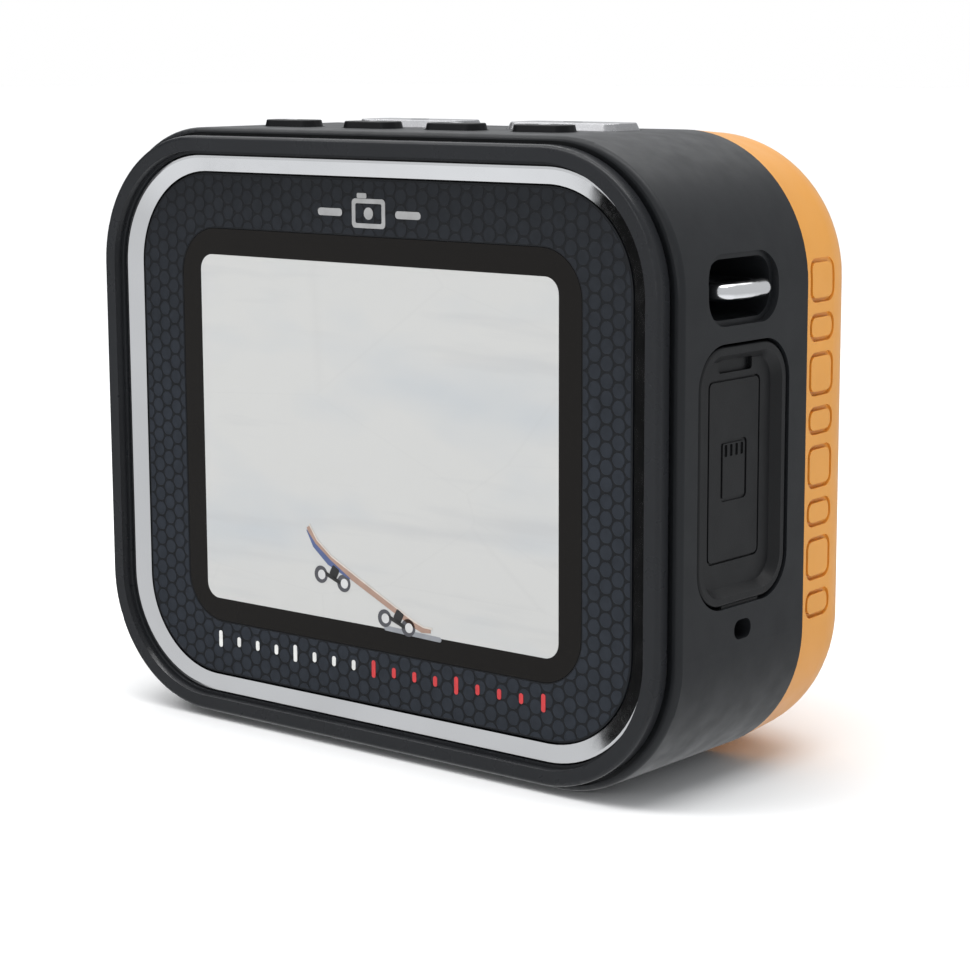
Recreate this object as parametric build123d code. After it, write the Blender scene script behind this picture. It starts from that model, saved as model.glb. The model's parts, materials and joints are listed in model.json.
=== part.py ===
from build123d import *
import math
import os

# Action camera. All lengths are in millimetres.
# +Z is up, the screen side faces -Y and the lens side faces +Y.
# "depth" is measured from the front of the screen frame towards the lens.

# ---- driving dimensions -------------------------------------------------
BODY_W = 60.0            # over the side walls
BODY_H = 49.6            # underside to top wall
BODY_R = 11.5            # corner radius of the housing outline
WALL = 1.8               # housing wall
OVERALL = 34.0           # screen frame to lens ring

BODY_FRONT = 1.5         # depth where the main housing starts
SPLIT = 18.0             # depth of the seam to the lens-side cover
COVER_BACK = 27.6        # depth of the cover's flat face
COVER_FILLET = 6.0       # rounding of the cover's outer edge
COVER_DRAFT = 4.5        # slope of the cover's sides, in degrees

MID_Z = BODY_H / 2
HALF_W = BODY_W / 2

# screen stack: half width, half height, corner radius
FRAME_OUT = (29.05, 24.17, 10.9)
FRAME_IN = (27.78, 22.92, 9.7)
STEP_IN = (27.55, 22.69, 9.47)
NECK_OUT = (28.6, 23.6, 10.3)
TRIM_IN = (25.8, 21.25, 7.95)
PANEL = (25.65, 21.1, 7.8)
LEDGE_IN = (24.9, 20.35, 7.05)
LENS_CUT = (21.0, 16.6, 3.9)
LCD = (20.2, 16.2, 1.0)
STEP_DEPTH = 0.75
TRIM_FRONT = 1.0
TRIM_LAND = 0.2          # flat outer edge of the bright ring
PANEL_FRONT = 1.5
TRIM_BACK = 2.0
LEDGE_DEPTH = 2.3
RIM_EDGE = 0.35          # rounding of the rim's front edge
SEAT = (29.3, 24.4, 11.1)  # shallow seat around the rim
SEAT_DEPTH = 1.8
SEAT_EDGE = 0.45
FRAME_WALL_BACK = 1.25
NECK_BACK = 3.5
BULKHEAD = (3.6, 5.0)    # depths of the wall that the screen frame sits against
GASKET_IN = (19.2, 14.9, 0.8)
LCD_FRONT = 2.45
LCD_BACK = 4.5
LCD_TAIL = (19.0, 15.0)  # half width and half height of the module's back shell
BRACKET = (21.4, 20.4, 1.5)
BRACKET_BACK = 5.7

# side openings: depth and height of centre, size along depth and height, corner radius
CARD_DOOR = dict(depth=9.57, z=24.6, w=11.6, h=19.45, r=3.1)
USB_DOOR = dict(depth=9.0, z=18.6, w=8.6, h=13.0, r=2.6)
DOOR_THICK = 1.9
DOOR_FACE = 0.08         # how far the door's face lies under the wall surface
DOOR_GAP = 0.2
DISH_BORDER = 0.65
DISH_DEPTH = 0.7
DISH_SLOPE = 40
CARD_PANEL = dict(depth=9.35, z=24.9, w=6.6, h=13.6, r=0.5)
CARD_NOTCH = dict(depth=9.4, z=32.75, w=4.4, h=1.0, r=0.3)
CARD_MARK = dict(depth=9.35, z=24.9, w=3.4, h=4.6, r=0.4)
CARD_CONTACT = dict(depth=8.3, z=26.4, w=0.35, h=0.9, r=0.1)
CONTACT_PITCH = 0.7
USB_MARK = dict(depth=9.0, z=18.9, w=2.4, h=5.0, r=1.0)
MARK_LINE = 0.25
MARK_DEPTH = 0.12
DOOR_EDGE = 0.25         # rounding of the door's outer edge
HINGE_STRIP = dict(x=29.3, thick=0.45, half_w=2.4, deep=1.0)
CARD_POCKET_FLOOR = 27.8
BAY_INNER = 22.6         # inner face of the thick wall behind the card door
BAY_BACK = 16.2
BAY_Z = (13.0, 42.3)
USB_INNER = 25.2
USB_BACK = 15.0
USB_Z = (10.4, 26.9)

STRAP = dict(depth=9.35, z=38.45, w=9.2, h=5.3, r=2.2)
STRAP_FLOOR = 24.0
STRAP_LIP = 0.4
STRAP_LIP_DEPTH = 0.6
PIN_R = 0.68
PIN_Z = 38.26
PIN_LEGS = (7.45, 12.95)  # depths of the two legs
PIN_AXIS_X = 29.75
PIN_ROOT = 1.2           # length of each leg held in the recess floor
PIN_BENDS = [0.9, 6.0, 0.9]
PIN_BOW = 0.35
RESET = dict(depth=9.65, z=12.8, w=2.2, h=1.5, r=0.7)
SOUND_SLOT = dict(depth=10.2, w=7.0, h=0.9, r=0.44)
SOUND_SLOTS = [29.2, 31.2, 33.2, 35.2, 37.2]  # heights

# top buttons
KEY_PITCH = 8.8
KEY_ROW_X = -0.55        # centre of the row
KEY_TOP = (5.1, 2.3)     # width, depth of the top face
KEY_BASE = (5.4, 2.6)
KEY_DEPTH = 7.6          # depth of the row's centre line
KEY_RISE = 0.55
PAD_CENTRES = (-4.8, 11.1)
PAD_BASE = (11.0, 4.2)
PAD_TOP = (10.5, 3.7)
PAD_DEPTH = 13.2
PAD_RISE = 0.58
BUTTON_GAP = 0.15
FLANGE = 0.5             # how far the hidden flange reaches past the cap
FLANGE_TOP = BODY_H - WALL - 0.1
FLANGE_THICK = 0.6
STEM_R = 1.1
STEM_END = 46.0
SWITCH_TOP = 45.4
SWITCH_CAN_TOP = 45.15
SWITCH_R = 0.8
BOARD_TOP = 44.6
CAP_R = 1.1

# inside
CARD_Z = 25.3
CARD_DEPTH = 8.65
CARD_W = 11.0
CARD_T = 1.0
CARD_L = 15.0
CARD_END = 25.2
PCB = (9.6, 10.8)        # depths of the main board's faces
BOSS = (24.0, 19.0)      # screw positions from the centre
BOSS_R = 2.5
SCREW_R = 0.9
SCREW_HEAD_R = 1.85
BOSS_TOP = 16.4
COVER_BOSS = (16.6, 22.6)
COVER_HOLE_END = 21.8
TONGUE = 16.6            # depth that the cover's tongue reaches to
TONGUE_IN = 3.0
PORT_R = 0.9             # status light and the cover's other small holes
PORTS_X = 19.0
PORTS_Z = 39.0
SOUND_HOLE_R = 0.4
SOUND_HOLE_PITCH = 1.4
RIB_COUNT = 8
RIB_PITCH = 3.62
RIB_TOP = 38.3           # height of the highest bar's centre
RIB_DEPTH = 20.35
RIB_W = 3.2
RIB_HEIGHTS = (2.7, 1.5)  # two bar sizes, in turn
RIB_GROOVE = 0.35        # width of the groove around each bar
RIB_FLOOR = 0.55         # how far its floor lies inside the housing's wall
LENS_Z = MID_Z

# lens, from the cover outwards
CUP_DEPTH = 24.8
CUP_R = 13.1
TRIM_R = 13.2
MOUTH_R = 11.4
FLANGE_R = 15.5
FLANGE_BACK = 29.4
TUBE_R = 13.9
TUBE_BACK = 33.2
WINDOW_R = 11.3
WINDOW_SEAT = 31.6
BARREL_R = 9.6

parts = {}


# ---- helpers ------------------------------------------------------------
def y_at(depth):
    return depth - OVERALL / 2


def block(half_w, half_h, radius, start, end, x=0.0, z=MID_Z, taper=0.0):
    """Rounded block along the depth axis, between two depths."""
    plane = Plane(origin=(x, y_at(start), z), x_dir=(1, 0, 0), z_dir=(0, 1, 0))
    outline = plane * RectangleRounded(2 * half_w, 2 * half_h, radius)
    return extrude(outline, amount=end - start, taper=taper)


def sized(size, start, end):
    return block(size[0], size[1], size[2], start, end)


def inset(margin, start, end, taper=0.0):
    """The housing's outline drawn in by a margin, between two depths."""
    return block(HALF_W - margin, MID_Z - margin, BODY_R - margin, start, end, taper=taper)


def disc(radius, start, end, x=0.0, z=LENS_Z):
    """Cylinder along the depth axis."""
    plane = Plane(origin=(x, y_at(start), z), x_dir=(1, 0, 0), z_dir=(0, 1, 0))
    return extrude(plane * Circle(radius), amount=end - start)


def side_block(opening, x_from, x_to, grow=0.0, taper=0.0):
    """Rounded block along X, placed by an opening's depth and height."""
    direction = 1 if x_to > x_from else -1
    plane = Plane(
        origin=(x_from, y_at(opening["depth"]), opening["z"]),
        x_dir=(0, 1, 0),
        z_dir=(direction, 0, 0),
    )
    outline = plane * RectangleRounded(
        opening["w"] + 2 * grow, opening["h"] + 2 * grow, opening["r"] + grow
    )
    return extrude(outline, amount=abs(x_to - x_from), taper=taper)


def box(x0, x1, d0, d1, z0, z1):
    """Box between two X values, two depths and two heights."""
    centre = ((x0 + x1) / 2, y_at((d0 + d1) / 2), (z0 + z1) / 2)
    return Pos(*centre) * Box(x1 - x0, d1 - d0, z1 - z0)


def top_block(x, depth, size, radius, z0, z1, taper=0.0):
    """Rounded block along Z."""
    outline = Plane.XY.offset(z0) * Pos(x, y_at(depth)) * RectangleRounded(*size, radius)
    return extrude(outline, amount=z1 - z0, taper=taper)


def edges_at_depth(solid, depth):
    return solid.edges().filter_by_position(
        Axis.Y, y_at(depth) - 0.01, y_at(depth) + 0.01
    )


# ---- screen side --------------------------------------------------------
def screen_frame():
    """Dark rim around the screen, with a neck that plugs into the housing."""
    rim = sized(FRAME_OUT, 0, FRAME_WALL_BACK)
    rim = fillet(edges_at_depth(rim, 0), RIM_EDGE)
    frame = rim + sized(NECK_OUT, FRAME_WALL_BACK, NECK_BACK)
    frame -= sized(FRAME_IN, 0, STEP_DEPTH)
    frame -= sized(STEP_IN, STEP_DEPTH, TRIM_BACK)
    frame -= sized(TRIM_IN, TRIM_BACK, LEDGE_DEPTH)
    return frame - sized(LEDGE_IN, LEDGE_DEPTH, NECK_BACK)


def trim_ring():
    """Bright ring whose face slopes in and down to the panel."""
    outer = [value - 0.15 for value in STEP_IN]
    slope_out = [value - TRIM_LAND for value in outer]
    slope_wide = slope_out[0] - TRIM_IN[0]
    slope_deep = PANEL_FRONT - TRIM_FRONT
    angle = math.degrees(math.atan2(slope_wide, slope_deep))
    ring = sized(outer, TRIM_FRONT, TRIM_BACK) - sized(TRIM_IN, TRIM_FRONT, TRIM_BACK)
    return ring - block(*slope_out, TRIM_FRONT, PANEL_FRONT, taper=angle)


def decor_panel():
    return sized(PANEL, PANEL_FRONT, LEDGE_DEPTH) - sized(LENS_CUT, PANEL_FRONT, LEDGE_DEPTH)


def screen_lens():
    size = [value - 0.04 for value in LENS_CUT]
    return sized(size, PANEL_FRONT, LEDGE_DEPTH)


def display_gasket():
    return sized(LCD, LEDGE_DEPTH, LCD_FRONT) - sized(GASKET_IN, LEDGE_DEPTH, LCD_FRONT)


def lcd_module():
    wide, tall = LCD_TAIL
    shell = box(-wide, wide, LCD_BACK, BULKHEAD[1], MID_Z - tall, MID_Z + tall)
    return sized(LCD, LCD_FRONT, LCD_BACK) + shell


def display_ribbon():
    """Flat cable from the display's back, round the battery's lower edge, to the main board."""
    left, right, thick = -15.0, -4.0, 0.15
    front, step, back = BULKHEAD[1], BULKHEAD[1] + 0.9, PCB[0]
    low, bend, top, foot = 9.6, 12.0, 14.2, 11.0
    ribbon = box(left, right, front, front + thick, bend, top)
    ribbon += box(left, right, front, step, bend, bend + thick)
    ribbon += box(left, right, step - thick, step, low, bend + thick)
    ribbon += box(left, right, step - thick, back, low, low + thick)
    return ribbon + box(left, right, back - thick, back, low, foot)


def display_bracket():
    """Pressed plate that holds the display against the bulkhead."""
    plate = sized(BRACKET, BULKHEAD[1], BRACKET_BACK)
    window = (7.0, 5.5, 1.0)
    for side in (-1, 1):
        for level in (-1, 1):
            centre = dict(x=side * 9.5, z=MID_Z + level * 7.5)
            plate -= block(*window, BULKHEAD[1], BRACKET_BACK, **centre)
    return plate


# ---- housing ------------------------------------------------------------
def door_bottom(door):
    return door["z"] - door["h"] / 2


def hinge_strip(door, side):
    """Flexible strip along a door's lower edge. The door turns on its own outer lower edge."""
    low = door_bottom(door) - HINGE_STRIP["deep"]
    inner = side * HINGE_STRIP["x"]
    outer = side * (HINGE_STRIP["x"] + HINGE_STRIP["thick"])
    near = door["depth"] - HINGE_STRIP["half_w"]
    far = door["depth"] + HINGE_STRIP["half_w"]
    return box(min(inner, outer), max(inner, outer), near, far, low, door_bottom(door))


def door_pocket(door, side):
    return side_block(door, side * CARD_POCKET_FLOOR, side * (HALF_W + 1), grow=DOOR_GAP)


def boss_places():
    return [(side * BOSS[0], MID_Z + level * BOSS[1]) for side in (-1, 1) for level in (-1, 1)]


def main_housing():
    shell = inset(0, BODY_FRONT, SPLIT)
    shell = fillet(edges_at_depth(shell, BODY_FRONT), SEAT_EDGE)
    shell -= sized(SEAT, BODY_FRONT, SEAT_DEPTH)
    shell -= sized([value + 0.1 for value in NECK_OUT], BODY_FRONT, BULKHEAD[0])
    shell -= inset(WALL, BULKHEAD[1], SPLIT)
    shell -= block(LCD[0] + 0.4, LCD[1] + 0.8, LCD[2], *BULKHEAD)

    for x, z in boss_places():
        shell += disc(BOSS_R, BULKHEAD[1], BOSS_TOP, x, z)
    shell += box(BAY_INNER, HALF_W - 1, BULKHEAD[1], BAY_BACK, *BAY_Z)
    shell += box(1 - HALF_W, -USB_INNER, BULKHEAD[1], USB_BACK, *USB_Z)
    for x, z in boss_places():
        shell -= disc(SCREW_R, BULKHEAD[0], BOSS_TOP, x, z)
        shell -= disc(SCREW_HEAD_R + 0.05, BULKHEAD[0], BULKHEAD[0] + 0.6, x, z)

    for door, side in ((CARD_DOOR, 1), (USB_DOOR, -1)):
        shell -= door_pocket(door, side)
        shell -= hinge_strip(door, side)
    shell -= card_way() + usb_way()
    shell -= side_block(STRAP, HALF_W - STRAP_LIP_DEPTH, HALF_W + 1)
    shell -= side_block(STRAP, STRAP_FLOOR, HALF_W, grow=-STRAP_LIP)
    shell -= side_block(RESET, HALF_W - WALL - 1, HALF_W + 1)
    shell -= strap_pin()
    for height in SOUND_SLOTS:
        shell -= side_block(dict(SOUND_SLOT, z=height), -HALF_W - 1, -HALF_W + WALL + 0.2)
    for x, depth, base, rise in button_places():
        size = [value + 2 * BUTTON_GAP for value in base]
        shell -= top_block(x, depth, size, 1.2, BODY_H - WALL - 0.5, BODY_H + 1)
    return shell


def card_way():
    """Slot for the card through the thick wall, and a finger hollow in front of it."""
    half_t, half_w = CARD_T / 2 + 0.35, CARD_W / 2 + 0.35
    near, far = CARD_DEPTH - half_t, CARD_DEPTH + half_t
    slot = box(BAY_INNER - 0.1, 25.5, near, far, CARD_Z - half_w, CARD_Z + half_w)
    return slot + box(25.3, 28.0, 6.2, 11.2, CARD_Z - 7.5, CARD_Z + 7.5)


def usb_way():
    return box(-28.0, -25.0, 6.5, 10.0, USB_DOOR["z"] - 3.0, USB_DOOR["z"] + 5.2)


def strap_pin():
    """Bowed wire loop whose two legs sit in the recess floor."""
    near, far = PIN_LEGS
    ends = [(STRAP_FLOOR - PIN_ROOT, y_at(depth), PIN_Z) for depth in (near, far)]
    tops = [(PIN_AXIS_X - PIN_BOW, y_at(depth), PIN_Z) for depth in (near - 0.1, far + 0.1)]
    crown = (PIN_AXIS_X, y_at((near + far) / 2), PIN_Z)
    path = FilletPolyline([ends[0], tops[0], crown, tops[1], ends[1]], radius=PIN_BENDS)
    section = Plane(origin=ends[0], z_dir=(1, 0, 0)) * Circle(PIN_R)
    return sweep(section, path=path)


def lens_cover():
    """Coloured cover on the lens side, with ribbed sides."""
    shell = inset(0, SPLIT, COVER_BACK, COVER_DRAFT)
    shell = fillet(edges_at_depth(shell, COVER_BACK), COVER_FILLET)
    cavity = inset(WALL, SPLIT, COVER_BACK - WALL, COVER_DRAFT)
    shell -= fillet(edges_at_depth(cavity, COVER_BACK - WALL), COVER_FILLET - WALL)
    tongue = inset(WALL + 0.1, TONGUE, SPLIT + 2) + inset(WALL, SPLIT, SPLIT + 2)
    shell += tongue - inset(TONGUE_IN, TONGUE, SPLIT + 2)
    for x, z in boss_places():
        shell += disc(BOSS_R, *COVER_BOSS, x, z) & inset(WALL + 0.1, *COVER_BOSS)
        shell -= disc(SCREW_R, TONGUE, COVER_HOLE_END, x, z)
    through = (COVER_BACK - 3, COVER_BACK + 1)
    shell -= disc(CUP_R + 0.1, *through)
    shell -= disc(PORT_R, *through, PORTS_X, PORTS_Z)
    for step in (-1, 0, 1):
        shell -= disc(SOUND_HOLE_R, *through, SOUND_HOLE_PITCH * step - PORTS_X, PORTS_Z)
    for side in (-1, 1):
        shell -= rib_grooves(side)
    return shell


def rib_grooves(side):
    """Outline grooves that leave a column of raised bars flush with the wall."""
    floor = side * (HALF_W - RIB_FLOOR)
    outside = side * (HALF_W + 1)
    grooves = []
    for index in range(RIB_COUNT):
        height = RIB_HEIGHTS[index % 2]
        bar = dict(depth=RIB_DEPTH, z=RIB_TOP - index * RIB_PITCH, w=RIB_W, h=height, r=0.6)
        wide = side_block(bar, floor, outside, grow=RIB_GROOVE)
        grooves.append(wide - side_block(bar, floor, outside))
    return grooves


# ---- doors --------------------------------------------------------------
def door_plate(door, side):
    """Dished door with a rounded outer edge."""
    face = side * (HALF_W - DOOR_FACE)
    plate = side_block(door, face - side * DOOR_THICK, face)
    rim = plate.edges().filter_by_position(Axis.X, face - 0.01, face + 0.01)
    return fillet(rim, DOOR_EDGE) - tapered_dish(door, side, face)


def tapered_dish(door, side, face):
    """Dish with sloping walls, wide at the door's face."""
    return side_block(door, face, face - side * DISH_DEPTH, grow=-DISH_BORDER, taper=DISH_SLOPE)


def line_around(outline, floor, deep, inside, outside=0.0):
    """Closed groove around an outline in a door's dished floor."""
    ends = (floor - math.copysign(deep, floor), floor + math.copysign(0.1, floor))
    return side_block(outline, *ends, grow=outside) - side_block(outline, *ends, grow=-inside)


def card_door():
    floor = HALF_W - DOOR_FACE - DISH_DEPTH
    door = door_plate(CARD_DOOR, 1)
    door -= line_around(CARD_PANEL, floor, 0.2, 0.08, 0.1)
    door -= line_around(CARD_MARK, floor, MARK_DEPTH, MARK_LINE)
    door -= side_block(CARD_NOTCH, floor - 0.35, floor + 0.5)
    for step in range(4):
        contact = dict(CARD_CONTACT, depth=CARD_CONTACT["depth"] + CONTACT_PITCH * step)
        door -= side_block(contact, floor - MARK_DEPTH, floor + 0.1)
    return door


def usb_door():
    floor = -(HALF_W - DOOR_FACE - DISH_DEPTH)
    return door_plate(USB_DOOR, -1) - line_around(USB_MARK, floor, MARK_DEPTH, MARK_LINE)


# ---- buttons ------------------------------------------------------------
def key_x(index):
    return KEY_ROW_X + (index - 1.5) * KEY_PITCH


def button_places():
    keys = [(key_x(index), KEY_DEPTH, KEY_BASE, KEY_RISE) for index in range(4)]
    pads = [(x, PAD_DEPTH, PAD_BASE, PAD_RISE) for x in PAD_CENTRES]
    return keys + pads


def button(x, depth, base, top, rise):
    """Cap with sloping sides, a hidden flange and a stem over its switch."""
    low = Plane.XY.offset(BODY_H) * Pos(x, y_at(depth)) * RectangleRounded(*base, CAP_R)
    high = Plane.XY.offset(BODY_H + rise) * Pos(x, y_at(depth)) * RectangleRounded(*top, CAP_R - 0.2)
    cap = loft([low, high])
    cap = fillet(cap.edges().group_by(Axis.Z)[-1], 0.12)
    flange_low = FLANGE_TOP - FLANGE_THICK
    cap += top_block(x, depth, base, CAP_R, flange_low, BODY_H)
    wide = [value + 2 * FLANGE for value in base]
    cap += top_block(x, depth, wide, CAP_R, flange_low, FLANGE_TOP)
    stem = Cylinder(STEM_R, FLANGE_TOP - STEM_END)
    return cap + Pos(x, y_at(depth), (STEM_END + FLANGE_TOP) / 2) * stem


def tact_switches():
    group = []
    for x, depth, base, rise in button_places():
        can = top_block(x, depth, (3.2, 3.0), 0.2, BOARD_TOP, SWITCH_CAN_TOP)
        plunger = Cylinder(SWITCH_R, SWITCH_TOP - BOARD_TOP)
        group.append(can + Pos(x, y_at(depth), (BOARD_TOP + SWITCH_TOP) / 2) * plunger)
    return group


# ---- lens ---------------------------------------------------------------
def lens_bezel():
    flange = disc(FLANGE_R, COVER_BACK, FLANGE_BACK)
    flange = fillet(edges_at_depth(flange, FLANGE_BACK), 0.7)
    tube = disc(TUBE_R, FLANGE_BACK, TUBE_BACK)
    tube = chamfer(edges_at_depth(tube, TUBE_BACK), 0.4)
    bezel = flange + tube + disc(CUP_R, CUP_DEPTH, COVER_BACK)
    bezel -= disc(MOUTH_R, WINDOW_SEAT, TUBE_BACK)
    return bezel - disc(BARREL_R + 0.7, CUP_DEPTH, WINDOW_SEAT)


def lens_trim():
    ring = disc(TRIM_R, TUBE_BACK, OVERALL) - disc(MOUTH_R, TUBE_BACK, OVERALL)
    return chamfer(edges_at_depth(ring, OVERALL), 0.35)


def domed(radius, start, end, bulge):
    """Disc whose lens-side face bulges like a shallow dome."""
    ball_r = (radius ** 2 + bulge ** 2) / (2 * bulge)
    ball = Pos(0, y_at(end) - ball_r, LENS_Z) * Sphere(ball_r)
    return disc(radius, start, end) & ball


def lens_barrel():
    """Stepped barrel with a funnel in front of its first lens."""
    front, shoulder, back = 30.9, 26.0, 18.0
    barrel = disc(BARREL_R, shoulder, front) + disc(6.5, back, shoulder)
    mouth = Plane(origin=(0, y_at(front), LENS_Z), x_dir=(1, 0, 0), z_dir=(0, -1, 0)) * Circle(8.4)
    barrel -= extrude(mouth, amount=2.9, taper=35)
    return barrel - disc(5.6, 26.6, 28.5) - disc(4.4, back, 26.6)


def lens_holder():
    base = block(7, 7, 1, 14.0, 17.0, z=LENS_Z) - block(4.6, 4.6, 0.5, 14.0, 16.0, z=LENS_Z)
    return base + disc(8.2, 17.0, 21.5) - disc(6.5, 17.9, 21.5) - disc(4.0, 15.9, 18.0)


# ---- electronics --------------------------------------------------------
def main_board():
    board = box(-24.2, 22.2, PCB[0], PCB[1], 9.0, 40.6)
    for x in (-21.5, 19.5):
        for z in (11.5, 38.1):
            board -= disc(1.1, PCB[0], PCB[1], x, z)
    return board


def card_socket():
    shell = box(8.9, 22.2, CARD_DEPTH - 0.95, PCB[0], CARD_Z - 6.7, CARD_Z + 6.7)
    return shell - box(9.4, 22.3, CARD_DEPTH - 0.6, CARD_DEPTH + 0.6, CARD_Z - 5.6, CARD_Z + 5.6)


def memory_card():
    card = box(CARD_END - CARD_L, CARD_END, CARD_DEPTH - CARD_T / 2, CARD_DEPTH + CARD_T / 2,
               CARD_Z - CARD_W / 2, CARD_Z + CARD_W / 2)
    corner = box(10, 15.5, 8, 10, CARD_Z + 4.2, CARD_Z + 6)
    return card - corner


def usb_connector():
    z = USB_DOOR["z"] + 1.1
    shell = box(-27.6, -22.3, 6.85, PCB[0], z - 3.75, z + 3.75)
    inside = box(-27.7, -23.3, 7.15, 9.15, z - 3.4, z + 3.4)
    return shell - inside + box(-27.0, -23.3, 7.95, 8.35, z - 2.4, z + 2.4)


def speaker():
    return side_block(dict(depth=10.2, z=33.2, w=9.0, h=11.4, r=1.5), -28.0, -24.8)


parts["screen_frame"] = screen_frame()
parts["chrome_trim_ring"] = trim_ring()
parts["decor_panel"] = decor_panel()
parts["screen_lens"] = screen_lens()
parts["display_gasket"] = display_gasket()
parts["lcd_module"] = lcd_module()
parts["display_bracket"] = display_bracket()
parts["display_ribbon"] = display_ribbon()
parts["main_housing"] = main_housing()
parts["lens_cover"] = lens_cover()
parts["strap_pin"] = strap_pin()
parts["card_door"] = card_door()
parts["card_door_hinge_strip"] = hinge_strip(CARD_DOOR, 1)
parts["usb_door"] = usb_door()
parts["usb_door_hinge_strip"] = hinge_strip(USB_DOOR, -1)
for index in range(4):
    parts[f"top_key_{index + 1}"] = button(key_x(index), KEY_DEPTH, KEY_BASE, KEY_TOP, KEY_RISE)
for name, x in zip(("shutter_button", "power_button"), PAD_CENTRES):
    parts[name] = button(x, PAD_DEPTH, PAD_BASE, PAD_TOP, PAD_RISE)
parts["button_board"] = box(-19.5, 19.5, 5.9, 16.3, BOARD_TOP - 1.0, BOARD_TOP)
parts["tact_switches"] = tact_switches()
parts["lens_bezel"] = lens_bezel()
parts["lens_trim_ring"] = lens_trim()
parts["lens_window"] = domed(WINDOW_R, WINDOW_SEAT, 33.4, 0.9)
parts["lens_barrel"] = lens_barrel()
parts["front_lens_element"] = domed(5.5, 26.6, 29.6, 1.9)
parts["rear_lens_element"] = disc(4.3, 19.0, 21.0)
parts["lens_holder"] = lens_holder()
parts["sensor_board"] = block(10, 10, 0.8, 13.0, 14.0)
parts["image_sensor"] = block(3.6, 3.0, 0.2, 14.0, 14.9)
parts["board_connector"] = block(5, 1.6, 0.2, PCB[1], 13.0, z=MID_Z + 6)
parts["main_board"] = main_board()
parts["processor"] = block(5.5, 5.5, 0.2, PCB[1], 12.2, x=-14, z=20)
parts["battery"] = block(15, 15.4, 1.6, 6.0, 9.4, x=-6.6, z=25.6)
parts["card_socket"] = card_socket()
parts["memory_card"] = memory_card()
parts["usb_connector"] = usb_connector()
parts["speaker"] = speaker()
parts["microphone"] = disc(2.2, 24.0, 25.7, -PORTS_X, PORTS_Z)
parts["status_light_pipe"] = disc(PORT_R - 0.02, 24.4, COVER_BACK, PORTS_X, PORTS_Z)
parts["reset_switch"] = box(18.4, 22.2, 8.2, PCB[0], 11.4, 14.2)
parts["housing_screws"] = [
    disc(SCREW_HEAD_R, BULKHEAD[0] + 0.05, BULKHEAD[0] + 0.6, x, z)
    + disc(SCREW_R - 0.01, BULKHEAD[0] + 0.6, 21.0, x, z)
    for x, z in boss_places()
]

os.makedirs("parts", exist_ok=True)
for name, shape in parts.items():
    solids = shape if isinstance(shape, list) else shape.solids()
    export_step(Compound(label=name, children=list(solids)), f"parts/{name}.step")
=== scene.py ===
# Looks of the action camera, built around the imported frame. Lengths are in millimetres until MM or mm()
# turns them into metres. +Z is up, the screen side faces -Y and the lens side faces +Y.

import json
import math

import bmesh
import bpy
from mathutils import Matrix, Vector


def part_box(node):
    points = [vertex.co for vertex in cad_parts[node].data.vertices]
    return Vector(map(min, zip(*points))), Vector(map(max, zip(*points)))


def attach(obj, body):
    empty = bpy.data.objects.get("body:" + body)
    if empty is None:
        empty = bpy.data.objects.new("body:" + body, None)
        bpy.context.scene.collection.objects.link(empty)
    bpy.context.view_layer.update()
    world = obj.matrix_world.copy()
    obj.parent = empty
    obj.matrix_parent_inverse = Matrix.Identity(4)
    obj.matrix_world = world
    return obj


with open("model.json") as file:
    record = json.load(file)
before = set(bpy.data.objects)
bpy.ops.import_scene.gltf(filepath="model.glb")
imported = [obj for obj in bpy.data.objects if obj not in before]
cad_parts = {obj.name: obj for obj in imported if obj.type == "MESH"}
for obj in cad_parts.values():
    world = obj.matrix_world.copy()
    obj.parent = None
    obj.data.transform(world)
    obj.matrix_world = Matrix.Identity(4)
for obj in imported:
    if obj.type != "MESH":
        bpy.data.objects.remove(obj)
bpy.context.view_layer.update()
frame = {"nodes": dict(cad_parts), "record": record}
NODES = frame["nodes"]
MM = 0.001
CAMERA_BODY = "camera"


def mm(*values):
    return Vector([value * MM for value in values])


def node_box(name):
    """Lowest and highest corner of a CAD node, in millimetres."""
    low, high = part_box(name)
    return low / MM, high / MM


# ---- places taken from the frame ----------------------------------------
HOUSE_LOW, HOUSE_HIGH = node_box("main_housing")
PANEL_LOW, PANEL_HIGH = node_box("decor_panel")
GLASS_LOW, GLASS_HIGH = node_box("screen_lens")
BEZEL_BACK = node_box("lens_bezel")[1].y
MID_Z = (HOUSE_LOW.z + HOUSE_HIGH.z) / 2
PANEL_Y = PANEL_LOW.y

# half width, half height and corner radius of each rounded outline
PANEL_OUT = ((PANEL_HIGH.x - PANEL_LOW.x) / 2, (PANEL_HIGH.z - PANEL_LOW.z) / 2, 7.8)
GLASS_OUT = ((GLASS_HIGH.x - GLASS_LOW.x) / 2, (GLASS_HIGH.z - GLASS_LOW.z) / 2, 3.86)
PICTURE = (18.83, 14.52, 1.3)
PICTURE_DROP = 0.11      # how far the picture's centre lies below the panel's


def new_object(name, data):
    """Puts an object into the scene."""
    made = bpy.data.objects.new(name, data)
    bpy.context.scene.collection.objects.link(made)
    return made


def aim_at(made, place, target):
    """Turns a light or a card at a place to face a target."""
    made.rotation_euler = (mm(*target) - mm(*place)).to_track_quat("-Z", "Y").to_euler()


# ---- materials ----------------------------------------------------------
NOISE_SPAN = (0.3, 0.7)  # the part of a noise's range that holds nearly all of it


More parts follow.
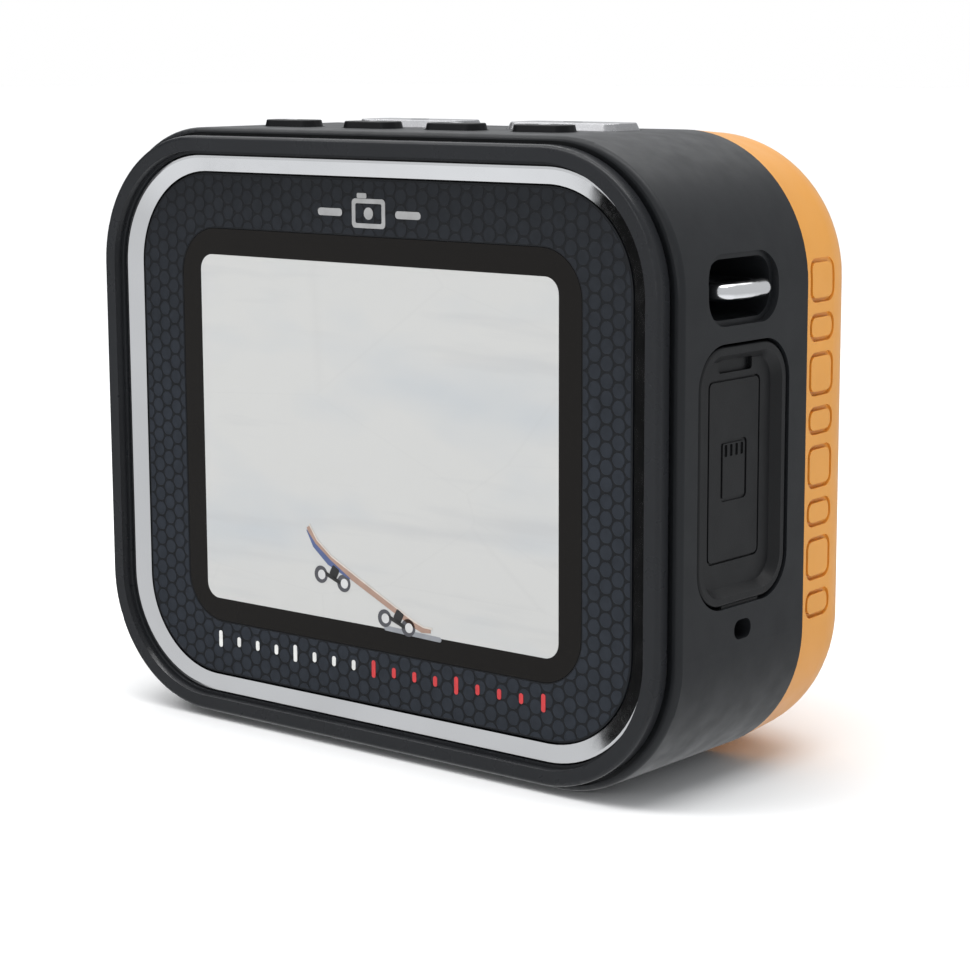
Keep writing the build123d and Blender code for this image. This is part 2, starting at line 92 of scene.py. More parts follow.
class Shader:
    """A Principled material with helpers that add procedural detail in object space."""

    def __init__(self, name, color, rough, metallic=0.0, specular=0.5, coat=0.0, coat_rough=0.1):
        self.material = bpy.data.materials.new(name)
        self.material.use_nodes = True
        self.tree = self.material.node_tree
        self.surface = self.tree.nodes["Principled BSDF"]
        self.color = color
        self.set("Base Color", (*color, 1))
        self.set("Roughness", rough)
        self.set("Metallic", metallic)
        self.set("Specular IOR Level", specular)
        self.set("Coat Weight", coat)
        self.set("Coat Roughness", coat_rough)
        self.place = self.tree.nodes.new("ShaderNodeTexCoord").outputs["Object"]
        self.normal = None

    def set(self, socket, value):
        self.surface.inputs[socket].default_value = value

    def link(self, source, target):
        self.tree.links.new(source, target)

    def add(self, kind, **values):
        made = self.tree.nodes.new(kind)
        for key, value in values.items():
            setattr(made, key, value)
        return made

    def put(self, socket, value):
        """Sets a socket to a fixed value or links it to another socket."""
        if isinstance(value, bpy.types.NodeSocket):
            self.link(value, socket)
        else:
            socket.default_value = value

    def blend(self, first, second, factor, mode="MIX"):
        """A colour between two others. Each of the three is a fixed value or a socket."""
        mix = self.add("ShaderNodeMix", data_type="RGBA", blend_type=mode)
        self.put(mix.inputs["A"], first)
        self.put(mix.inputs["B"], second)
        self.put(mix.inputs["Factor"], factor)
        return mix.outputs["Result"]

    def stretched(self, stretch):
        mapping = self.add("ShaderNodeMapping")
        mapping.inputs["Scale"].default_value = stretch
        self.link(self.place, mapping.inputs["Vector"])
        return mapping.outputs["Vector"]

    def noise(self, size_mm, detail=2.0, stretch=(1, 1, 1)):
        """Noise whose features are about size_mm wide."""
        made = self.add("ShaderNodeTexNoise")
        made.inputs["Scale"].default_value = 1 / (size_mm * MM)
        made.inputs["Detail"].default_value = detail
        self.link(self.stretched(stretch), made.inputs["Vector"])
        return made.outputs["Fac"]

    def ramp(self, factor, low, high, first, last):
        made = self.add("ShaderNodeMapRange")
        made.inputs["From Min"].default_value = low
        made.inputs["From Max"].default_value = high
        made.inputs["To Min"].default_value = first
        made.inputs["To Max"].default_value = last
        self.link(factor, made.inputs["Value"])
        return made.outputs["Result"]

    def vary_color(self, size_mm, dark=0.85, light=1.15, stretch=(1, 1, 1), detail=3.0):
        """Blotches between a darker and a lighter tone of the base colour."""
        darker = [c * dark for c in self.color]
        lighter = [min(1.0, c * light) for c in self.color]
        share = self.ramp(self.noise(size_mm, detail, stretch), *NOISE_SPAN, 0, 1)
        self.link(self.blend((*darker, 1), (*lighter, 1), share), self.surface.inputs["Base Color"])
        return self

    def vary_rough(self, size_mm, low, high, stretch=(1, 1, 1)):
        value = self.ramp(self.noise(size_mm, 3.0, stretch), *NOISE_SPAN, low, high)
        self.link(value, self.surface.inputs["Roughness"])
        return self

    def bump(self, height, depth_mm, strength=1.0):
        made = self.add("ShaderNodeBump")
        made.inputs["Strength"].default_value = strength
        made.inputs["Distance"].default_value = depth_mm * MM
        self.link(height, made.inputs["Height"])
        if self.normal is not None:
            self.link(self.normal, made.inputs["Normal"])
        self.normal = made.outputs["Normal"]
        self.link(self.normal, self.surface.inputs["Normal"])
        return self

    def grain(self, size_mm, depth_mm, strength=0.5, stretch=(1, 1, 1)):
        return self.bump(self.noise(size_mm, 2.0, stretch), depth_mm, strength)


def moulded(name, color, rough, grain_mm=0.16, grain_deep=0.006, blotch=6.0, specular=0.5, spread=0.06):
    """Moulded plastic: fine spark-eroded grain, faint tone blotches and uneven gloss."""
    made = Shader(name, color, rough, specular=specular)
    made.vary_color(blotch, 0.965, 1.035).vary_rough(2.2, rough - spread, rough + spread)
    return made.grain(grain_mm, grain_deep).material


def plated(name, color, rough, wave=9.0):
    """Bright plating with a faint waviness and fine haze."""
    made = Shader(name, color, rough, metallic=1.0)
    made.vary_color(wave, 0.95, 1.03).vary_rough(1.4, rough * 0.7, rough * 1.5)
    made.grain(wave, 0.05, 0.15)
    return made.grain(0.3, 0.0006, 0.3).material


def brushed(name, color, rough, stretch):
    """Metal with fine lines along one direction."""
    made = Shader(name, color, rough, metallic=1.0)
    made.vary_color(0.3, 0.88, 1.06, stretch).vary_rough(0.3, rough * 0.75, rough * 1.35, stretch)
    return made.grain(0.12, 0.002, 0.5, stretch).material


def circuit_board(name):
    """Green solder mask with lighter traces and plated pads."""
    made = Shader(name, (0.012, 0.10, 0.035), 0.35, coat=0.4)
    brick = made.add("ShaderNodeTexBrick")
    brick.inputs["Scale"].default_value = 1 / (3.0 * MM)
    brick.inputs["Mortar Size"].default_value = 0.03
    brick.inputs["Color1"].default_value = (0.010, 0.085, 0.03, 1)
    brick.inputs["Color2"].default_value = (0.014, 0.12, 0.04, 1)
    brick.inputs["Mortar"].default_value = (0.03, 0.2, 0.07, 1)
    made.link(made.place, brick.inputs["Vector"])
    made.link(brick.outputs["Color"], made.surface.inputs["Base Color"])
    return made.bump(brick.outputs["Fac"], 0.02, 0.4).material


def glass(name, tint, coat):
    """Clear glass with a faintly coloured coating and light smears."""
    made = Shader(name, tint, 0.03, coat=coat, coat_rough=0.02)
    made.set("Transmission Weight", 1.0)
    made.set("IOR", 1.5)
    return made.vary_rough(4.0, 0.01, 0.05).grain(6.0, 0.01, 0.05).material


def graded_panel(name, bottom, top, rough, fade_mm):
    """Printed panel whose print fades towards its top edge."""
    made = Shader(name, bottom, rough, specular=0.22)
    split = made.add("ShaderNodeSeparateXYZ")
    made.link(made.place, split.inputs["Vector"])
    height = made.ramp(split.outputs["Z"], fade_mm[0] * MM, fade_mm[1] * MM, 0, 1)
    graded = made.blend((*bottom, 1), (*top, 1), height)
    speckle = made.ramp(made.noise(0.9, 3.0), *NOISE_SPAN, 0.88, 1.12)
    made.link(made.blend(graded, speckle, 1.0, "MULTIPLY"), made.surface.inputs["Base Color"])
    made.vary_rough(1.8, rough - 0.06, rough + 0.06)
    return made.grain(0.12, 0.004, 0.4).material


def lit_picture(name):
    """Pale concrete seen on a lit display: soft blotches, long streaks and hairline cracks."""
    warm, cool = (0.50, 0.50, 0.49), (0.39, 0.425, 0.46)
    streak, dark = (0.42, 0.425, 0.43), (0.40, 0.40, 0.40)
    made = Shader(name, warm, 0.4, specular=0.15)
    blotch = made.ramp(made.noise(16.0, 3.0, (0.7, 1, 1.8)), 0.5, 0.78, 0, 0.75)
    lines = made.ramp(made.noise(3.0, 5.0, (0.12, 1, 1.4)), 0.56, 0.74, 0, 0.55)
    cracks = made.add("ShaderNodeTexVoronoi", feature="DISTANCE_TO_EDGE")
    cracks.inputs["Scale"].default_value = 1 / (17 * MM)
    made.link(made.stretched((0.6, 1, 1.3)), cracks.inputs["Vector"])
    crack = made.ramp(cracks.outputs["Distance"], 0.0, 0.006, 0.12, 0)
    ground = made.blend((*warm, 1), (*cool, 1), blotch)
    ground = made.blend(ground, (*streak, 1), lines)
    ground = made.blend(ground, (*dark, 1), crack)
    made.link(ground, made.surface.inputs["Base Color"])
    made.link(ground, made.surface.inputs["Emission Color"])
    made.set("Emission Strength", 0.16)
    return made.material


def printed(name, color, glow=0.0, rough=0.4):
    """Screen-printed ink or a lit picture colour, with slightly uneven cover."""
    made = Shader(name, color, rough)
    made.vary_color(1.2, 0.88, 1.08).grain(0.1, 0.002, 0.4)
    if glow:
        made.set("Emission Color", (*color, 1))
        made.set("Emission Strength", glow)
    return made.material


def foil(name):
    """Slightly wrinkled metal foil."""
    made = Shader(name, (0.62, 0.63, 0.65), 0.3, metallic=1.0)
    made.vary_color(5, 0.9, 1.05)
    return made.grain(2.5, 0.1, 0.5).material


def epoxy(name):
    """Dull black chip resin."""
    made = Shader(name, (0.012, 0.012, 0.013), 0.55)
    return made.vary_rough(0.8, 0.45, 0.65).grain(0.1, 0.008, 0.6).material


# lines that run along the width or the height
ACROSS, UPWARD = (0.04, 1, 1), (1, 1, 0.04)
LOOKS = {
    "housing": moulded("body_plastic", (0.0130, 0.0142, 0.0162), 0.42, specular=0.28),
    "frame": moulded("rim_plastic", (0.0185, 0.0196, 0.0220), 0.3, specular=0.24),
    "trim": plated("bright_trim", (0.93, 0.93, 0.94), 0.11),
    "decor": graded_panel(
        "panel_print", (0.0100, 0.0115, 0.0142), (0.0105, 0.0113, 0.0132), 0.42, (30, 49)
    ),
    "screen": Shader("black_glass", (0.0088, 0.0076, 0.0067), 0.3, specular=0.18)
    .vary_rough(7.0, 0.17, 0.28).grain(9.0, 0.01, 0.05).material,
    "display": Shader("display_glass", (0.05, 0.052, 0.055), 0.2).vary_rough(3, 0.15, 0.3).material,
    "sheet_metal": brushed("pressed_steel", (0.55, 0.55, 0.56), 0.32, ACROSS),
    "gasket": moulded("foam_gasket", (0.01, 0.01, 0.01), 0.9, 0.25, 0.05),
    "ribbon": Shader("amber_ribbon", (0.42, 0.16, 0.03), 0.3, coat=0.5)
    .vary_color(0.5, 0.75, 1.15, UPWARD).material,
    "cover": moulded("orange_cover", (0.72, 0.315, 0.045), 0.36, 0.18, 0.005, 7.0),
    "strap_wire": Shader("polished_wire", (0.86, 0.86, 0.87), 0.16, metallic=1.0)
    .vary_rough(0.8, 0.1, 0.26, (1, 0.2, 1)).grain(0.25, 0.002, 0.3).material,
    "hinge_strip": moulded("soft_strip", (0.012, 0.012, 0.013), 0.6, 0.2, 0.01),
    "door": moulded("door_plastic", (0.0085, 0.0088, 0.0098), 0.40, 0.13, 0.012, specular=0.28),
    "key": moulded("key_plastic", (0.005, 0.005, 0.006), 0.4, 0.12, 0.003, specular=0.2),
    "pad": Shader("silver_paint", (0.40, 0.40, 0.41), 0.3, metallic=0.75)
    .vary_color(0.1, 0.86, 1.14).vary_rough(1.5, 0.25, 0.38).grain(0.09, 0.004, 0.5).material,
    "board": circuit_board("solder_mask"),
    "switch": brushed("switch_can", (0.55, 0.55, 0.56), 0.3, ACROSS),
    "bezel": moulded("bezel_plastic", (0.012, 0.012, 0.013), 0.3, 0.15, 0.005),
    "lens_trim": plated("lens_ring_plate", (0.74, 0.74, 0.75), 0.12, 5.0),
    "lens_glass": glass("coated_glass", (0.93, 0.95, 1.0), 0.6),
    "optics": moulded("optics_black", (0.008, 0.008, 0.008), 0.62, 0.14, 0.012),
    "chip": epoxy("chip_epoxy"),
    "battery": foil("battery_foil"),
    "socket": brushed("stamped_shell", (0.62, 0.62, 0.63), 0.28, UPWARD),
    "card": moulded("card_plastic", (0.015, 0.015, 0.017), 0.38, 0.1, 0.004),
    "speaker": moulded("speaker_box", (0.02, 0.02, 0.02), 0.5),
    "light_pipe": Shader("clear_acrylic", (0.85, 0.9, 0.92), 0.12, coat=0.5)
    .vary_rough(0.5, 0.08, 0.2).material,
    "screws": brushed("zinc_plate", (0.55, 0.55, 0.56), 0.3, ACROSS),
}
for part in frame["record"]["subparts"]:
    wanted = NODES[part["node"]]
    wanted.data.materials.clear()
    wanted.data.materials.append(LOOKS[part["material_slot"]])


# ---- mesh helpers -------------------------------------------------------
def finish_mesh(name, mesh, material, body, smooth_deg=None):
    """Turns a bmesh in millimetres into a piece that rides on a body."""
    bmesh.ops.recalc_face_normals(mesh, faces=mesh.faces)
    bmesh.ops.scale(mesh, vec=(MM, MM, MM), verts=mesh.verts)
    data = bpy.data.meshes.new(name)
    mesh.to_mesh(data)
    mesh.free()
    data.materials.append(material)
    piece = new_object(name, data)
    if smooth_deg is not None:
        data.shade_smooth()
        data.set_sharp_from_angle(angle=math.radians(smooth_deg))
    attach(piece, body)
    return piece


def band(mesh, lower, upper):
    """Joins two closed rings of vertices with quads."""
    count = len(lower)
    for i in range(count):
        j = (i + 1) % count
        mesh.faces.new((lower[i], lower[j], upper[j], upper[i]))


def skin(mesh, rings):
    """Joins rings of vertices one after another and closes both ends."""
    for lower, upper in zip(rings, rings[1:]):
        band(mesh, lower, upper)
    mesh.faces.new(rings[0][::-1])
    mesh.faces.new(rings[-1])


def slab(mesh, outline, base, top, bevel=0.0):
    """Adds a closed plate. base(point) places its foot, and top(point, share) a share of its height."""
    middle = Vector([sum(axis) / len(outline) for axis in zip(*outline)])

    def drawn_in(point):
        away = Vector(point) - middle
        return Vector(point) - away.normalized() * min(bevel, away.length)

    edge_share = 0.5 if bevel else 1.0
    rings = [[mesh.verts.new(base(point)) for point in outline]]
    rings.append([mesh.verts.new(top(point, edge_share)) for point in outline])
    if bevel:
        rings.append([mesh.verts.new(top(drawn_in(point), 1.0)) for point in outline])
    skin(mesh, rings)


def on_screen(height, y=PANEL_Y):
    """Placing functions for plates on a face that looks along -Y. Outline points are (x, z)."""
    return (lambda p: (p[0], y, p[1])), (lambda p, share: (p[0], y - height * share, p[1]))


def on_top(height, z):
    """Placing functions for plates on a face that looks up. Outline points are (x, y)."""
    return (lambda p: (p[0], p[1], z)), (lambda p, share: (p[0], p[1], z + height * share))


def rounded(half_w, half_h, radius, centre=(0, 0), steps=8, turn=0.0):
    """Outline of a rounded rectangle."""
    points = []
    for corner, (sx, sy) in enumerate(((1, 1), (-1, 1), (-1, -1), (1, -1))):
        for step in range(steps + 1):
            angle = math.pi / 2 * (corner + step / steps)
            x = sx * (half_w - radius) + radius * math.cos(angle)
            y = sy * (half_h - radius) + radius * math.sin(angle)
            points.append((x, y))
    c, s = math.cos(turn), math.sin(turn)
    return [(centre[0] + x * c - y * s, centre[1] + x * s + y * c) for x, y in points]


def ring_of(radius, centre=(0, 0), count=24):
    """Outline of a circle."""
    angles = [2 * math.pi * i / count for i in range(count)]
    return [(centre[0] + radius * math.cos(a), centre[1] + radius * math.sin(a)) for a in angles]


def outside_by(point, outline):
    """How far a point lies outside a rounded rectangle (negative inside), and the way out."""
    half_w, half_h, radius = outline
    qx, qz = abs(point.x) - (half_w - radius), abs(point.y) - (half_h - radius)
    sx, sz = math.copysign(1, point.x), math.copysign(1, point.y)
    if qx > 0 and qz > 0:
        length = math.hypot(qx, qz)
        return length - radius, Vector((sx * qx / length, sz * qz / length))
    if qx > qz:
        return qx - radius, Vector((sx, 0))
    return qz - radius, Vector((0, sz))


# ---- pieces on the screen side ------------------------------------------
HEX_PITCH = 1.28         # from row to row in one column
HEX_FILL = 0.78          # cell radius as a share of a cell that leaves no gap
HEX_HEIGHT = 0.035
HEX_BEVEL = 0.05
HEX_EDGE = 0.14          # plain border left at the panel's two outlines
HEX_LEAST_AREA = 0.06    # cut cells smaller than this are left out
HEX_CUT_REACH = 0.75     # how far outside an outline a centre may lie, as a share of the cell radius
CORNER_TURN = 12         # each corner is cut by two points this many degrees to its sides
HEX_COLUMNS, HEX_ROWS = 24, 18


def hex_cell(centre, radius, outer, inner):
    """Outline of one rounded cell, pressed flat where it meets the panel's outer or inner outline."""
    outline = []
    for corner in range(6):
        for turn in (-CORNER_TURN, CORNER_TURN):
            angle = math.radians(60 * corner + turn)
            point = centre + Vector((math.cos(angle), math.sin(angle))) * radius
            over, out = outside_by(point, outer)
            point -= out * max(0.0, over)
            under, out = outside_by(point, inner)
            point += out * max(0.0, -under)
            outline.append((point.x, point.y + MID_Z))
    return outline


def area_of(outline):
    return sum(a[0] * b[1] - b[0] * a[1] for a, b in zip(outline, outline[1:] + outline[:1])) / 2


def honeycomb():
    """Raised rounded cells over the whole printed panel, cut off at its outlines."""
    outer = [value - HEX_EDGE for value in PANEL_OUT]
    inner = [value + HEX_EDGE for value in GLASS_OUT]
    column_gap = HEX_PITCH * math.sqrt(3) / 2
    radius = HEX_PITCH / math.sqrt(3) * HEX_FILL
    reach = radius * HEX_CUT_REACH
    mesh = bmesh.new()
    base, top = on_screen(HEX_HEIGHT)
    for column in range(-HEX_COLUMNS, HEX_COLUMNS + 1):
        for row in range(-HEX_ROWS, HEX_ROWS + 1):
            centre = Vector((column * column_gap, (row + (column % 2) / 2) * HEX_PITCH))
            if outside_by(centre, outer)[0] > reach or outside_by(centre, inner)[0] < -reach:
                continue
            outline = hex_cell(centre, radius, outer, inner)
            if area_of(outline) > HEX_LEAST_AREA:
                slab(mesh, outline, base, top, HEX_BEVEL)
    bmesh.ops.dissolve_degenerate(mesh, dist=1e-4, edges=mesh.edges)
    fading = graded_panel("cell_print", (0.021, 0.0255, 0.034), (0.0135, 0.0152, 0.0185), 0.4, (26, 47))
    return finish_mesh("honeycomb_cells", mesh, fading, CAMERA_BODY)


def picture():
    """The lit picture under the window: an empty pale skate ground."""
    mesh = bmesh.new()
    base, top = on_screen(0.03)
    slab(mesh, rounded(*PICTURE, centre=(0, MID_Z - PICTURE_DROP)), base, top)
    return finish_mesh("display_picture", mesh, lit_picture("lit_ground"), CAMERA_BODY)


def flat_piece(name, outlines, material, lift, thick=0.02):
    """Thin printed shapes lifted a little in front of the picture or the panel."""
    mesh = bmesh.new()
    base, top = on_screen(thick, PANEL_Y - lift)
    for outline in outlines:
        slab(mesh, outline, base, top)
    return finish_mesh(name, mesh, material, CAMERA_BODY)


def ribbon_outline(points, widths):
    """Outline around a polyline, with a half width at each point."""
    left, right = [], []
    for index, (point, width) in enumerate(zip(points, widths)):
        before = Vector(points[max(index - 1, 0)])
        after = Vector(points[min(index + 1, len(points) - 1)])
        along = (after - before).normalized()
        side = Vector((-along.y, along.x)) * width
        left.append(tuple(Vector(point) + side))
        right.append(tuple(Vector(point) - side))
    return left + right[::-1]


# the deck's middle line from nose to tail, as (x, z), and its half width at each point
BOARD_LINE = [
    (-7.05, 17.5), (-6.2, 16.3), (-4.6, 15.1), (-2.3, 14.0),
    (1.3, 12.3), (4.2, 10.95), (5.2, 10.62), (6.1, 10.6),
]
DECK_HALF = [0.16, 0.3, 0.34, 0.3, 0.24, 0.22, 0.24, 0.14]
TRUCKS = ((-4.4, 13.6), (2.5, 10.9))
TYRE_R = 0.72
HUB_R = 0.4
WHEEL_OUT = 1.25         # from the truck's middle to each wheel


def picture_skateboard():
    """A plain skateboard standing on its tail wheels in the picture."""
    deck = ribbon_outline(BOARD_LINE, DECK_HALF)
    edge = ribbon_outline([(x + 0.16, z + 0.24) for x, z in BOARD_LINE], [0.07] * len(BOARD_LINE))
    under = ribbon_outline([(x - 0.14, z - 0.26) for x, z in BOARD_LINE[:4]], [0.03, 0.2, 0.26, 0.05])
    tyres, hubs, axles = [], [], []
    for x, z in TRUCKS:
        for side in (-1, 1):
            centre = (x + side * WHEEL_OUT, z - side * 0.22 - 0.1)
            tyres.append(ring_of(TYRE_R, centre))
            hubs.append(ring_of(HUB_R, (centre[0] + 0.1, centre[1])))
        axles.append(rounded(1.0, 0.16, 0.12, (x, z), 3, -0.35))
        axles.append(rounded(0.42, 0.45, 0.14, (x + 0.25, z + 0.5), 3, -0.5))
    shade = rounded(3.0, 0.2, 0.19, (4.2, 10.15), 6, -0.03)
    # name, outlines, ink (name, colour, glow) and how far the shapes stand in front of the picture
    layers = (
        ("picture_deck", [deck], ("deck_wood", (0.34, 0.22, 0.17), 0.15), 0.04),
        ("picture_deck_edge", [edge], ("deck_grip", (0.5, 0.46, 0.42), 0.25), 0.05),
        ("picture_deck_underside", [under], ("deck_blue", (0.08, 0.11, 0.24), 0.12), 0.045),
        ("picture_tyres", tyres, ("tyre_grey", (0.07, 0.07, 0.08), 0.15), 0.04),
        ("picture_hubs", hubs, ("hub_white", (0.5, 0.5, 0.5), 0.25), 0.07),
        ("picture_axles", axles, ("axle_black", (0.02, 0.02, 0.02), 0.2), 0.05),
        ("picture_shadow", [shade], ("ground_shadow", (0.24, 0.25, 0.27), 0.2), 0.034),
    )
    for name, outlines, ink, lift in layers:
        flat_piece(name, outlines, printed(*ink), lift)


MARK_Z = MID_Z + 18.4
SCALE_Z = MID_Z - 18.15
SCALE_START = -17.4      # across, at the first tick
SCALE_PITCH = 2.175
SCALE_TICKS = 17
SCALE_WHITE = 8          # how many of them are white
INK_THICK = 0.03


def panel_marks():
    """Generic marks: a camera outline between two bars above the screen, and a scale below it."""
    grey = printed("grey_ink", (0.36, 0.36, 0.36))
    white = printed("white_ink", (0.78, 0.78, 0.76))
    red = printed("red_ink", (0.62, 0.035, 0.04))
    lift = HEX_HEIGHT
    outer = rounded(1.75, 1.15, 0.35, (0, MARK_Z), 5)
    inner = rounded(1.38, 0.78, 0.15, (0, MARK_Z), 5)
    mesh = bmesh.new()
    base, top = on_screen(INK_THICK, PANEL_Y - lift)
    rows = [[mesh.verts.new(base(point)) for point in ring] for ring in (outer, inner)]
    rows += [[mesh.verts.new(top(point, 1.0)) for point in ring] for ring in (outer, inner)]
    for first, second in ((0, 1), (1, 3), (3, 2), (2, 0)):
        band(mesh, rows[first], rows[second])
    finish_mesh("mark_camera_outline", mesh, grey, CAMERA_BODY)
    shapes = [ring_of(0.48, (0, MARK_Z)), rounded(0.5, 0.2, 0.1, (-0.7, MARK_Z + 1.38), 3)]
    for side in (-1, 1):
        shapes.append(rounded(1.3, 0.3, 0.29, (side * 4.1, MARK_Z), 6))
    flat_piece("mark_bars", shapes, grey, lift, INK_THICK)
    ticks = {"white": [], "red": []}
    for index in range(SCALE_TICKS):
        half_tall = 0.72 if index % 4 == 0 else 0.42
        shape = rounded(0.2, half_tall, 0.19, (SCALE_START + index * SCALE_PITCH, SCALE_Z), 5)
        ticks["white" if index < SCALE_WHITE else "red"].append(shape)
    flat_piece("scale_white", ticks["white"], white, lift, INK_THICK)
    return flat_piece("scale_red", ticks["red"], red, lift, INK_THICK)


# ---- pieces on the buttons ----------------------------------------------
def key_marks():
    """Small symbols on each cap: up, down, a square and a dot on the keys, a disc and a bar on the pads."""
    ink = printed("key_ink", (0.55, 0.55, 0.56))
    dark = printed("pad_ink", (0.03, 0.03, 0.035))
    triangle = [(-0.6, -0.4), (0.6, -0.4), (0, 0.55)]
    drawings = {
        "top_key_1": triangle,
        "top_key_2": [(x, -y) for x, y in triangle][::-1],
        "top_key_3": rounded(0.45, 0.45, 0.12, steps=3),
        "top_key_4": ring_of(0.5),
        "shutter_button": ring_of(0.75),
        "power_button": rounded(0.9, 0.2, 0.19, steps=5),
    }
    for name, drawing in drawings.items():
        low, high = node_box(name)
        centre = ((low.x + high.x) / 2, (low.y + high.y) / 2)
        mesh = bmesh.new()
        base, top = on_top(0.02, high.z)
        slab(mesh, [(x + centre[0], y + centre[1]) for x, y in drawing], base, top)
        is_pad = "button" in name
        finish_mesh(f"{name}_mark", mesh, dark if is_pad else ink, name)


# ---- pieces on the lens side --------------------------------------------
FLANGE_Y = BEZEL_BACK - 3.8      # the flange's face lies this far behind the bezel's front edge
TUBE_R = 13.9
RIB_COUNT = 60
RIB_RISE = 0.28
# half width and height over the tube, at a rib's foot, crest and ends
RIB_FOOT = (0.38, -0.1)
RIB_CREST = (0.26, RIB_RISE)
RIB_END = (0.26, RIB_RISE * 0.3)
RIB_END_SLOPE = 0.12             # length of the sloping stretch at each end
TICK_COUNT = 48
TICK_R = 14.72


def lens_ribs():
    """Grip ribs around the lens barrel."""
    mesh = bmesh.new()
    near, far = FLANGE_Y + 0.5, BEZEL_BACK - 0.75
    sections = (
        (near, RIB_END),
        (near + RIB_END_SLOPE, RIB_CREST),
        (far - RIB_END_SLOPE, RIB_CREST),
        (far, RIB_END),
    )
    for index in range(RIB_COUNT):
        angle = 2 * math.pi * index / RIB_COUNT
        out = Vector((math.cos(angle), 0, math.sin(angle)))
        side = Vector((-math.sin(angle), 0, math.cos(angle)))
        rings = []
        for y, (half, rise) in sections:
            foot_half, foot = RIB_FOOT
            corners = ((-foot_half, foot), (-half, rise), (half, rise), (foot_half, foot))
            middle = Vector((0, y, MID_Z)) + out * TUBE_R
            rings.append([mesh.verts.new(middle + out * up + side * across) for across, up in corners])
        skin(mesh, rings)
    return finish_mesh("lens_grip_ribs", mesh, LOOKS["bezel"], CAMERA_BODY, 30)


def on_flange(height, sunk):
    """Placing functions for plates on the lens flange, which looks along +Y. Outline points are (x, z)."""
    foot = FLANGE_Y - sunk
    return (lambda p: (p[0], foot, p[1])), (lambda p, share: (p[0], FLANGE_Y + height * share, p[1]))


def flange_ticks():
    """Printed tick marks around the lens flange, a longer one at every fourth place."""
    mesh = bmesh.new()
    base, top = on_flange(0.02, 0.01)
    for index in range(TICK_COUNT):
        angle = 2 * math.pi * index / TICK_COUNT
        half_long = 0.42 if index % 4 == 0 else 0.22
        centre = (TICK_R * math.cos(angle), MID_Z + TICK_R * math.sin(angle))
        slab(mesh, rounded(half_long, 0.07, 0.06, centre, 3, angle), base, top)
    ink = printed("tick_ink", (0.6, 0.6, 0.6))
    return finish_mesh("lens_flange_ticks", mesh, ink, CAMERA_BODY)


honeycomb()
picture()
picture_skateboard()
panel_marks()
key_marks()
lens_ribs()
flange_ticks()


# ---- floor, light and camera --------------------------------------------
FLOOR_HALF = 3000.0


def floor():
    """Wide pale floor. Reflections see the room's own pale ground in its place."""
    data = bpy.data.meshes.new("floor")
    corners = [mm(x * FLOOR_HALF, y * FLOOR_HALF, 0) for x, y in ((-1, -1), (1, -1), (1, 1), (-1, 1))]
    data.from_pydata(corners, [], [(0, 1, 2, 3)])
    made = new_object("floor", data)
    look = Shader("pale_floor", (0.97, 0.97, 0.97), 0.8, specular=0.05)
    look.vary_color(60, 0.99, 1.01).grain(1.2, 0.01, 0.1)
    data.materials.append(look.material)
    made.visible_glossy = False


def area_light(name, place, target, size, power):
    """A rectangular soft box."""
    light = bpy.data.lights.new(name, "AREA")
    light.shape = "RECTANGLE"
    light.size, light.size_y = size[0] * MM, size[1] * MM
    light.energy = power
    made = new_object(name, light)
    made.location = mm(*place)
    aim_at(made, place, target)


def broad_sun(place, target):
    """The key light: a sun so broad that its shadows are soft."""
    sun = bpy.data.lights.new("broad_sun", "SUN")
    sun.energy = SUN_LIGHT
    sun.angle = math.radians(90)
    aim_at(new_object("broad_sun", sun), place, target)


def flag(name, place, target, size):
    """A black card that only reflections see."""
    mesh = bmesh.new()
    bmesh.ops.create_grid(mesh, x_segments=1, y_segments=1, size=0.5)
    data = bpy.data.meshes.new(name)
    mesh.to_mesh(data)
    mesh.free()
    data.materials.append(Shader(name + "_cloth", (0.01, 0.01, 0.01), 0.9, specular=0.0).material)
    made = new_object(name, data)
    made.scale = (size[0] * MM, size[1] * MM, 1)
    made.location = mm(*place)
    aim_at(made, place, target)
    made.visible_camera = False
    made.visible_shadow = False
    made.visible_diffuse = False


ROOM_LIGHT = 0.58        # the room all round
GROUND_LIGHT = 0.95      # the room seen steeply downwards, in reflections
SUN_LIGHT = 1.75


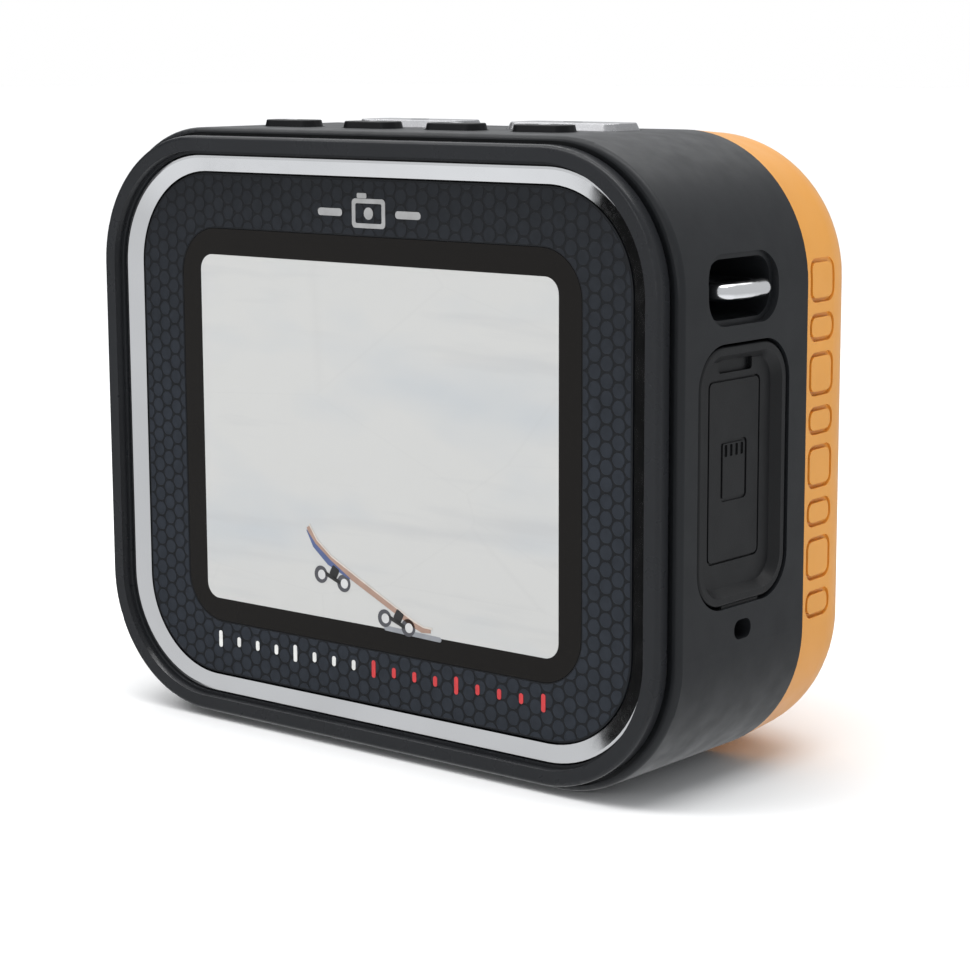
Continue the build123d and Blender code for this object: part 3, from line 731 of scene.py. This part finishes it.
def surroundings():
    """A world that is white for the eye, and a dimmer room, brighter below, for all that it lights."""
    world = bpy.data.worlds.new("studio")
    world.use_nodes = True
    tree = world.node_tree
    seen = tree.nodes["Background"]
    seen.inputs["Color"].default_value = (1, 1, 1, 1)
    room = tree.nodes.new("ShaderNodeBackground")
    room.inputs["Color"].default_value = (0.96, 0.98, 1.0, 1)
    facing = tree.nodes.new("ShaderNodeTexCoord")
    split = tree.nodes.new("ShaderNodeSeparateXYZ")
    ground = tree.nodes.new("ShaderNodeMapRange")
    ground.inputs["From Min"].default_value = -0.35
    ground.inputs["From Max"].default_value = -0.7
    ground.inputs["To Min"].default_value = ROOM_LIGHT
    ground.inputs["To Max"].default_value = GROUND_LIGHT
    path = tree.nodes.new("ShaderNodeLightPath")
    mix = tree.nodes.new("ShaderNodeMixShader")
    links = tree.links
    links.new(facing.outputs["Generated"], split.inputs["Vector"])
    links.new(split.outputs["Z"], ground.inputs["Value"])
    links.new(ground.outputs["Result"], room.inputs["Strength"])
    links.new(path.outputs["Is Camera Ray"], mix.inputs["Fac"])
    links.new(room.outputs["Background"], mix.inputs[1])
    links.new(seen.outputs["Background"], mix.inputs[2])
    links.new(mix.outputs["Shader"], tree.nodes["World Output"].inputs["Surface"])
    bpy.context.scene.world = world


def lights():
    """One broad sun, three soft boxes, and a black card that darkens the bright ring's right side."""
    centre = (0, 0, MID_Z)
    broad_sun((-90, 60, 330), centre)
    area_light("overhead_strip", (40, -60, 330), centre, (330, 40), 0.45)
    area_light("left_soft", (-300, -260, 420), centre, (200, 200), 0.4)
    area_light("front_spot", (-65, -430, 150), centre, (60, 60), 0.1)
    flag("left_flag", (-420, -60, 60), centre, (420, 500))


CAMERA_PLACE = (134.944, -164.615, 55.848)
CAMERA_TURN = (39.581, 9.672, -0.226)    # to the left, down, and roll, in degrees
FOCAL_LENGTH = 94.955


def camera():
    """The main view, from the front right and a little above."""
    data = bpy.data.cameras.new("camera")
    data.sensor_width = 36.0
    data.lens = FOCAL_LENGTH
    made = new_object("camera", data)
    yaw, pitch, roll = (math.radians(angle) for angle in CAMERA_TURN)
    ahead = Vector((-math.sin(yaw) * math.cos(pitch), math.cos(yaw) * math.cos(pitch), -math.sin(pitch)))
    level = Vector((math.cos(yaw), math.sin(yaw), 0))
    upright = level.cross(ahead)
    right = level * math.cos(roll) + upright * math.sin(roll)
    up = upright * math.cos(roll) - level * math.sin(roll)
    turned = Matrix((right, up, -ahead)).transposed()
    made.matrix_world = Matrix.Translation(mm(*CAMERA_PLACE)) @ turned.to_4x4()
    bpy.context.scene.camera = made


floor()
surroundings()
lights()
camera()
bpy.context.scene.view_settings.view_transform = "Standard"
